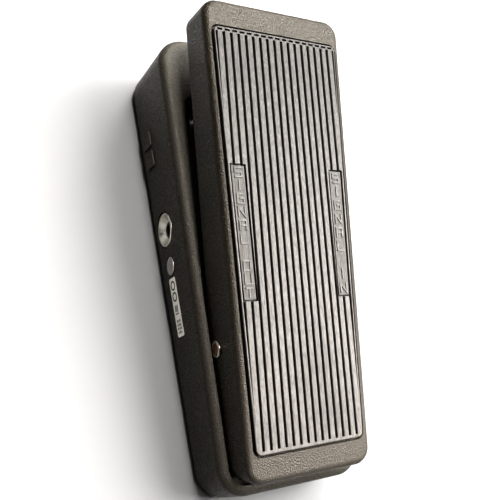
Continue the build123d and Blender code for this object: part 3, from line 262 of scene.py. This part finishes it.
def tread_rubber():
    """Ribbed rubber: dark in the grooves, greyed and streaked along the rib tops where shoes have rubbed."""
    g = Graph("tread_rubber")
    height = g.along(TREAD_UP)
    top = PIVOT.dot(TREAD_UP) + RIB_TOP
    rubbed = g.span(height, top - 0.0007, top - 0.0001)
    streaks = g.noise(1.0, 4.0, 0.62, g.scaled(1100, 230, 230), 0.5)
    lines = g.noise(1.0, 2.0, 0.6, g.scaled(2100, 60, 60))
    mottle = g.noise(1.0, 4.0, 0.65, g.scaled(1000, 480, 480))
    broad = g.noise(26, 3.0, 0.5)
    heelwards = g.span(g.along(TREAD_ALONG), 0.10, -0.06)
    dull = g.mix(heelwards, (0.028, 0.025, 0.022), (0.108, 0.101, 0.094))
    bright = g.mix(heelwards, (0.068, 0.063, 0.059), (0.222, 0.208, 0.198))
    worn = g.mix(g.span(streaks, 0.30, 0.70), dull, bright)
    greyed = g.math("MULTIPLY", g.span(mottle, 0.50, 0.72), g.span(heelwards, 0, 1, 0.15, 0.5))
    worn = g.mix(greyed, worn, (0.24, 0.228, 0.218))
    worn = g.mix(g.math("MULTIPLY", g.span(broad, 0.50, 0.68), 0.30), worn, (0.060, 0.056, 0.052))
    colour = g.mix(rubbed, (0.040, 0.036, 0.031), worn)
    across = g.math("PINGPONG", g.math("ADD", g.along((1, 0, 0)), RIB_PHASE), RIB_PITCH / 2)
    crown = g.math("POWER", g.math("MULTIPLY", across, 2 / RIB_PITCH), 0.5)
    relief = g.math("ADD", g.math("MULTIPLY", streaks, 0.8), g.math("MULTIPLY", lines, 0.6))
    relief = g.math("ADD", relief, g.math("MULTIPLY", mottle, 0.9))
    relief = g.math("ADD", relief, g.math("MULTIPLY", crown, 0.9))
    rough = g.span(mottle, 0.35, 0.70, 0.55, 0.36)
    return g.finish(colour=colour, rough=rough, specular=0.36, normal=g.bump(relief, 0.00024, 0.8))


def plain_rubber():
    """Matt black rubber with a fine grain, greyed in patches."""
    g = Graph("foot_rubber")
    grain = g.noise(900, 3.0, 0.6)
    colour = g.mix(g.span(g.noise(60, 2.0), 0.4, 0.7), (0.020, 0.020, 0.020), (0.045, 0.043, 0.040))
    return g.finish(colour=colour, rough=g.span(grain, 0.3, 0.7, 0.85, 0.65), specular=0.35,
                    normal=g.bump(grain, 0.00012, 0.5))


def metal(name, dark, light, low_rough, high_rough, direction=(900, 900, 60), depth=0.00004):
    """Metal with fine drawn or turned lines along one axis, and a little tarnish."""
    g = Graph(name)
    lines = g.noise(1.0, 2.0, 0.6, g.scaled(*direction))
    stain = g.noise(120, 4.0, 0.6)
    colour = g.mix(g.span(stain, 0.38, 0.66), dark, light)
    rough = g.span(g.noise(240, 3.0), 0.3, 0.7, low_rough, high_rough)
    return g.finish(colour=colour, rough=rough, metal=1.0, normal=g.bump(lines, depth, 0.6))


def plastic(name, dark, light, low_rough, high_rough, grain=800, depth=0.00005):
    """Moulded plastic with a faint grain and uneven gloss."""
    g = Graph(name)
    texture = g.noise(grain, 3.0, 0.6)
    colour = g.mix(g.span(g.noise(70, 3.0), 0.36, 0.66), dark, light)
    rough = g.span(texture, 0.3, 0.7, low_rough, high_rough)
    return g.finish(colour=colour, rough=rough, specular=0.5, normal=g.bump(texture, depth, 0.6))


def circuit_laminate():
    """Solder mask with copper tracks showing under it."""
    g = Graph("board_laminate")
    tracks = g.node("ShaderNodeTexBrick", {
        "Vector": g.place, "Scale": 90.0, "Mortar Size": 0.05, "Brick Width": 1.1, "Row Height": 0.22,
        "Color1": (0, 0, 0, 1), "Color2": (0, 0, 0, 1), "Mortar": (1, 1, 1, 1)}).outputs["Fac"]
    colour = g.mix(tracks, (0.010, 0.070, 0.026), (0.030, 0.150, 0.055))
    return g.finish(colour=colour, rough=g.span(g.noise(300), 0.3, 0.7, 0.28, 0.42), specular=0.5,
                    normal=g.bump(tracks, 0.00003, 0.6))


def label_film():
    """Pale printed film, yellowed a little in patches."""
    g = Graph("label_film")
    fibre = g.noise(700, 3.0, 0.6)
    colour = g.mix(g.span(g.noise(180, 4.0), 0.40, 0.68), (0.96, 0.94, 0.86), (0.84, 0.81, 0.73))
    return g.finish(colour=colour, rough=g.span(fibre, 0.3, 0.7, 0.35, 0.55), specular=0.5,
                    normal=g.bump(fibre, 0.00002, 0.4))


# Metal and plastic: dark and light colour, least and most roughness, and what the grain needs.
TURNED, DRAWN = (300, 900, 900), (60, 900, 900)
LOOKS = {
    "coated_casting": coated_casting("coated_casting", False),
    "coated_treadle": coated_casting("coated_treadle", True),
    "foot_rubber": plain_rubber(),
    "tread_rubber": tread_rubber(),
    "label_film": label_film(),
    "board_laminate": circuit_laminate(),
}
for name, *values in (
        ("bright_metal", (0.58, 0.56, 0.49), (0.82, 0.80, 0.72), 0.27, 0.42, TURNED, 0.00002),
        ("plug_metal", (0.34, 0.33, 0.31), (0.52, 0.51, 0.48), 0.16, 0.27, TURNED, 0.00002),
        ("plated_steel", (0.36, 0.35, 0.33), (0.56, 0.55, 0.53), 0.28, 0.45),
        ("spring_steel", (0.08, 0.075, 0.07), (0.15, 0.14, 0.13), 0.35, 0.5),
        ("pivot_copper", (0.10, 0.055, 0.035), (0.24, 0.135, 0.080), 0.25, 0.42, DRAWN),
        ("pivot_ring", (0.30, 0.28, 0.24), (0.50, 0.47, 0.42), 0.26, 0.40, TURNED),
        ("pot_case", (0.30, 0.30, 0.29), (0.45, 0.45, 0.44), 0.30, 0.45),
        ("tinned_brass", (0.50, 0.47, 0.38), (0.66, 0.63, 0.54), 0.25, 0.40),
        ("pinion_brass", (0.46, 0.33, 0.12), (0.62, 0.47, 0.20), 0.24, 0.38, DRAWN)):
    LOOKS[name] = metal(name, *values)
for name, *values in (
        ("coated_sheet", (0.018, 0.018, 0.018), (0.034, 0.033, 0.031), 0.42, 0.62, 1200, 0.00008),
        ("label_ink", (0.020, 0.019, 0.017), (0.045, 0.042, 0.038), 0.45, 0.6),
        ("bushing_nylon", (0.60, 0.57, 0.48), (0.72, 0.69, 0.60), 0.35, 0.5),
        ("jack_moulding", (0.014, 0.014, 0.015), (0.028, 0.027, 0.027), 0.40, 0.55),
        ("capacitor_dip", (0.30, 0.045, 0.025), (0.42, 0.07, 0.04), 0.18, 0.30, 300, 0.00008),
        ("resistor_body", (0.50, 0.40, 0.25), (0.62, 0.52, 0.35), 0.22, 0.35, 400),
        ("header_plastic", (0.60, 0.58, 0.50), (0.70, 0.68, 0.60), 0.30, 0.42),
        ("wire_sleeve", (0.36, 0.030, 0.022), (0.48, 0.050, 0.035), 0.38, 0.50),
        ("rack_nylon", (0.052, 0.050, 0.046), (0.085, 0.082, 0.076), 0.38, 0.52)):
    LOOKS[name] = plastic(name, *values)

OWN_LOOK = {"treadle": "coated_treadle", "pivot_shaft": "pivot_copper"}    # instead of the slot's look
for entry in frame["record"]["subparts"]:
    mesh = nodes[entry["node"]].data
    mesh.materials.clear()
    mesh.materials.append(LOOKS[OWN_LOOK.get(entry["node"], entry["material_slot"])])


# ---- mesh building -------------------------------------------------------------------------------------
def add_piece(name, bm, look, body, stands_for=()):
    """Makes a piece of a bmesh that lies in place. It rides on a CAD body and may stand for CAD nodes."""
    bmesh.ops.remove_doubles(bm, verts=bm.verts, dist=1e-7)
    bmesh.ops.recalc_face_normals(bm, faces=bm.faces)
    for face in bm.faces:
        face.smooth = True
    for edge in bm.edges:
        edge.smooth = edge.calc_face_angle(0.0) < SHARP_EDGE
    mesh = bpy.data.meshes.new(name)
    bm.to_mesh(mesh)
    bm.free()
    mesh.materials.append(LOOKS[look])
    piece = bpy.data.objects.new(name, mesh)
    bpy.context.scene.collection.objects.link(piece)
    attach(piece, body)
    if stands_for:
        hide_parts(*stands_for)


def lathe(bm, profile, place, steps=72, wobble=None):
    """Turns a closed profile of (along, radius) round a local X axis, and puts it at place (a matrix).
    wobble(angle, along, radius) may return a changed radius."""
    rings = []
    for i in range(steps):
        a = 2 * math.pi * i / steps
        ring = []
        for along, radius in profile:
            r = wobble(a, along, radius) if wobble else radius
            ring.append(bm.verts.new(place @ Vector((along, r * math.cos(a), r * math.sin(a)))))
        rings.append(ring)
    count = len(profile)
    for i in range(steps):
        here, there = rings[i], rings[(i + 1) % steps]
        for k in range(count):
            n = (k + 1) % count
            if profile[k][1] < 1e-9 and profile[n][1] < 1e-9:
                continue
            corners = [here[k], here[n], there[n], there[k]]
            if profile[k][1] < 1e-9:
                corners = [here[k], here[n], there[n]]
            elif profile[n][1] < 1e-9:
                corners = [here[k], here[n], there[k]]
            bm.faces.new(corners)


def arc(centre, radius, start, end, steps=6):
    """Points of an arc in the profile plane, angles in degrees from the along axis."""
    points = []
    for i in range(steps + 1):
        a = math.radians(start + (end - start) * i / steps)
        points.append((centre[0] + radius * math.cos(a), centre[1] + radius * math.sin(a)))
    return points


def facing(side, centre):
    """A place whose local X axis points out of the object on the +X or -X side."""
    return Matrix.Translation(centre) @ Matrix.Diagonal((side, 1, 1, 1))


def middle(node):
    """The middle of a node's box."""
    low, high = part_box(node)
    return (Vector(low) + Vector(high)) / 2


def jack_rings():
    """Dished ring nuts with a rolled rim, a spun dish and four spanner notches."""
    rim, thread, rise = 9.7 * MM, 4.75 * MM, 1.2 * MM
    mouth, seat, hole = -1.8 * MM, -2.8 * MM, 8.3 * MM
    for node, side in (("output_jack_ring", -1), ("input_jack_ring", 1)):
        low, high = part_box(node)
        centre = middle(node)
        centre.x = (low[0] + rise) if side < 0 else (high[0] - rise)
        profile = [(seat + 0.3 * MM, thread), (seat + 0.3 * MM, thread + 1.0 * MM),
                   (mouth - 0.2 * MM, thread + 1.15 * MM), (-0.2 * MM, hole - 0.2 * MM),
                   (0.0, hole - 0.2 * MM), (0.0, rim - 0.12 * MM), (0.12 * MM, rim)]
        profile += arc((rise - 0.55 * MM, rim - 0.55 * MM), 0.55 * MM, 90, 0, 6)
        profile += arc((rise - 0.45 * MM, rim - 1.1 * MM), 0.45 * MM, 0, -55, 4)
        profile += [(-0.1 * MM, 7.0 * MM), (-0.95 * MM, 5.85 * MM), (mouth + 0.45 * MM, thread + 0.5 * MM),
                    (mouth + 0.1 * MM, thread + 0.12 * MM), (mouth - 0.1 * MM, thread)]

        def notches(angle, along, radius):
            near = min(abs((angle - q * math.pi / 2 + math.pi) % (2 * math.pi) - math.pi)
                       for q in range(4))
            if near * radius < 0.75 * MM and thread + 0.3 * MM < radius < 6.1 * MM and along > mouth:
                return radius + 0.35 * MM
            return radius

        bm = bmesh.new()
        lathe(bm, profile, facing(side, centre), 144, notches)
        add_piece(node + "_spun", bm, "bright_metal", "housing", [node])


def hole_plug():
    """A pressed dome with a rolled edge."""
    low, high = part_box("hole_plug")
    centre = middle("hole_plug")
    centre.x = low[0]
    r, dome = 5.2 * MM, 0.75 * MM
    ball = (r * r + dome * dome) / (2 * dome)           # radius of the dome's sphere
    half = math.degrees(math.asin((r - 0.5 * MM) / ball))
    crown = arc((-ball, 0.0), ball, 0, half, 9)
    edge = crown[-1][0]
    profile = [(0.0, 0.0)] + crown[1:] + arc((edge - 0.45 * MM, r - 0.42 * MM), 0.42 * MM, 70, 180, 7)
    profile += [(edge - 0.9 * MM, 3.9 * MM), (-6.5 * MM, 3.7 * MM), (-6.5 * MM, 3.0 * MM),
                (-2.0 * MM, 3.0 * MM), (-2.0 * MM, 0.0)]
    bm = bmesh.new()
    lathe(bm, profile, facing(-1, centre), 96)
    add_piece("hole_plug_pressed", bm, "plug_metal", "housing", ["hole_plug"])


def pivot_rings():
    """Push-on rings on the shaft's ends, with sprung fingers round a rolled dome."""
    bm = bmesh.new()
    low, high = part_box("pivot_caps")
    rise = 1.2 * MM
    profile = [(0.0, 3.0 * MM), (0.0, 4.35 * MM), (0.12 * MM, 4.5 * MM), (0.4 * MM, 4.5 * MM)]
    profile += arc((0.35 * MM, 3.75 * MM), 0.8 * MM, 70, 15, 6)
    profile += [(1.17 * MM, 3.35 * MM), (1.0 * MM, 3.02 * MM), (0.7 * MM, 3.0 * MM)]
    turn = Matrix.Rotation(TILT, 4, "X")
    for side, x in ((-1, low[0] + rise), (1, high[0] - rise)):
        place = Matrix.Translation((x, PIVOT.y, PIVOT.z)) @ turn @ Matrix.Diagonal((side, 1, 1, 1))
        lathe(bm, profile, place)
    add_piece("pivot_rings", bm, "pivot_ring", "treadle", ["pivot_caps"])


def feet():
    """Moulded feet: a tapered puck with a rolled sole and a screw well."""
    bm = bmesh.new()
    high = EDGE_Z
    profile = [(0.0, 3.8 * MM), (0.0, 5.9 * MM)]
    profile += arc((0.7 * MM, 6.4 * MM), 0.7 * MM, 180, 100, 5)
    profile += [(high - 0.6 * MM, 7.85 * MM), (high - 0.15 * MM, 7.95 * MM), (high, 7.8 * MM),
                (high, 1.9 * MM), (2.6 * MM, 1.9 * MM), (2.6 * MM, 3.8 * MM)]
    profile = [(max(a, 0.0), r) for a, r in profile]
    up = Matrix.Rotation(-math.pi / 2, 4, "Y")
    for x in (-FOOT_X, FOOT_X):
        for y in (-FOOT_Y, FOOT_Y):
            lathe(bm, profile, Matrix.Translation((x, y, 0)) @ up, 64)
    add_piece("feet_moulded", bm, "foot_rubber", "housing", ["rubber_feet"])


# ---- label -----------------------------------------------------------------------------------------------
WALL_TAPER = (HALF_WIDTH_TOE - HALF_WIDTH_HEEL) / HOUSING_LENGTH
WALL_LEAN = math.tan(DRAFT)


def wall_point(y, z, lift):
    """A point of the left wall at y and at height z above the lower edge, lifted off it."""
    half = HALF_WIDTH_HEEL + (y + HOUSING_LENGTH / 2) * WALL_TAPER - z * WALL_LEAN
    return Vector((-half - lift, y, EDGE_Z + z))


def rounded_outline(y0, y1, z0, z1, radius, steps=6):
    """A rectangle with rounded corners, as points on the wall."""
    points = []
    for cy, cz, start in ((y1 - radius, z1 - radius, 0), (y0 + radius, z1 - radius, 90),
                          (y0 + radius, z0 + radius, 180), (y1 - radius, z0 + radius, 270)):
        for i in range(steps + 1):
            a = math.radians(start + 90 * i / steps)
            points.append((cy + radius * math.cos(a), cz + radius * math.sin(a)))
    return points


def wall_patch(bm, outlines, low, high):
    """A thin patch on the left wall. outlines is one closed outline, or an outer and an inner one."""
    outer = outlines[0]
    top = [bm.verts.new(wall_point(y, z, high)) for y, z in outer]
    base = [bm.verts.new(wall_point(y, z, low)) for y, z in outer]
    n = len(outer)
    for i in range(n):
        bm.faces.new([top[i], top[(i + 1) % n], base[(i + 1) % n], base[i]])
    if len(outlines) == 1:
        bm.faces.new(top)
        bm.faces.new(list(reversed(base)))
        return
    inner_top = [bm.verts.new(wall_point(y, z, high)) for y, z in outlines[1]]
    inner_base = [bm.verts.new(wall_point(y, z, low)) for y, z in outlines[1]]
    for i in range(n):
        k = (i + 1) % n
        bm.faces.new([inner_top[k], inner_top[i], inner_base[i], inner_base[k]])
        bm.faces.new([top[k], top[i], inner_top[i], inner_top[k]])
        bm.faces.new([base[i], base[k], inner_base[k], inner_base[i]])


def rating_label():
    """A blank sticker with a few plain printed shapes, no lettering."""
    y0, y1, z0, z1 = -41.0 * MM, -8.2 * MM, 6.7 * MM, 14.5 * MM
    bm = bmesh.new()
    wall_patch(bm, [rounded_outline(y0, y1, z0, z1, 1.1 * MM)], 0.0, 0.13 * MM)
    add_piece("label_sheet", bm, "label_film", "housing", ["rating_label"])

    ink = bmesh.new()
    low, high = 0.13 * MM, 0.16 * MM

    def bar(y, z, length, width):
        """A bar from the corner at y, z, in millimetres."""
        outline = rounded_outline(y * MM, (y + length) * MM, z * MM, (z + width) * MM, 0.12 * MM, 2)
        wall_patch(ink, [outline], low, high)

    for cy in (-12.6 * MM, -18.9 * MM):
        circles = []
        for r in (2.7 * MM, 1.85 * MM):
            turns = [2 * math.pi * i / 32 for i in range(32)]
            circles.append([(cy + r * math.cos(a), 10.6 * MM + r * math.sin(a)) for a in turns])
        wall_patch(ink, circles, low, high)
    for z in (8.6, 10.0, 11.4):
        bar(-27.4, z, 3.8, 0.75)
    bar(-28.6, 8.2, 0.5, 4.4)
    for row in range(3):
        for column in range(4):
            bar(-39.2 + column * 2.05, 8.4 + row * 1.7, 1.5 if (row + column) % 2 else 1.1, 0.8)
    add_piece("label_print", ink, "label_ink", "housing")


jack_rings()
hole_plug()
pivot_rings()
feet()
rating_label()
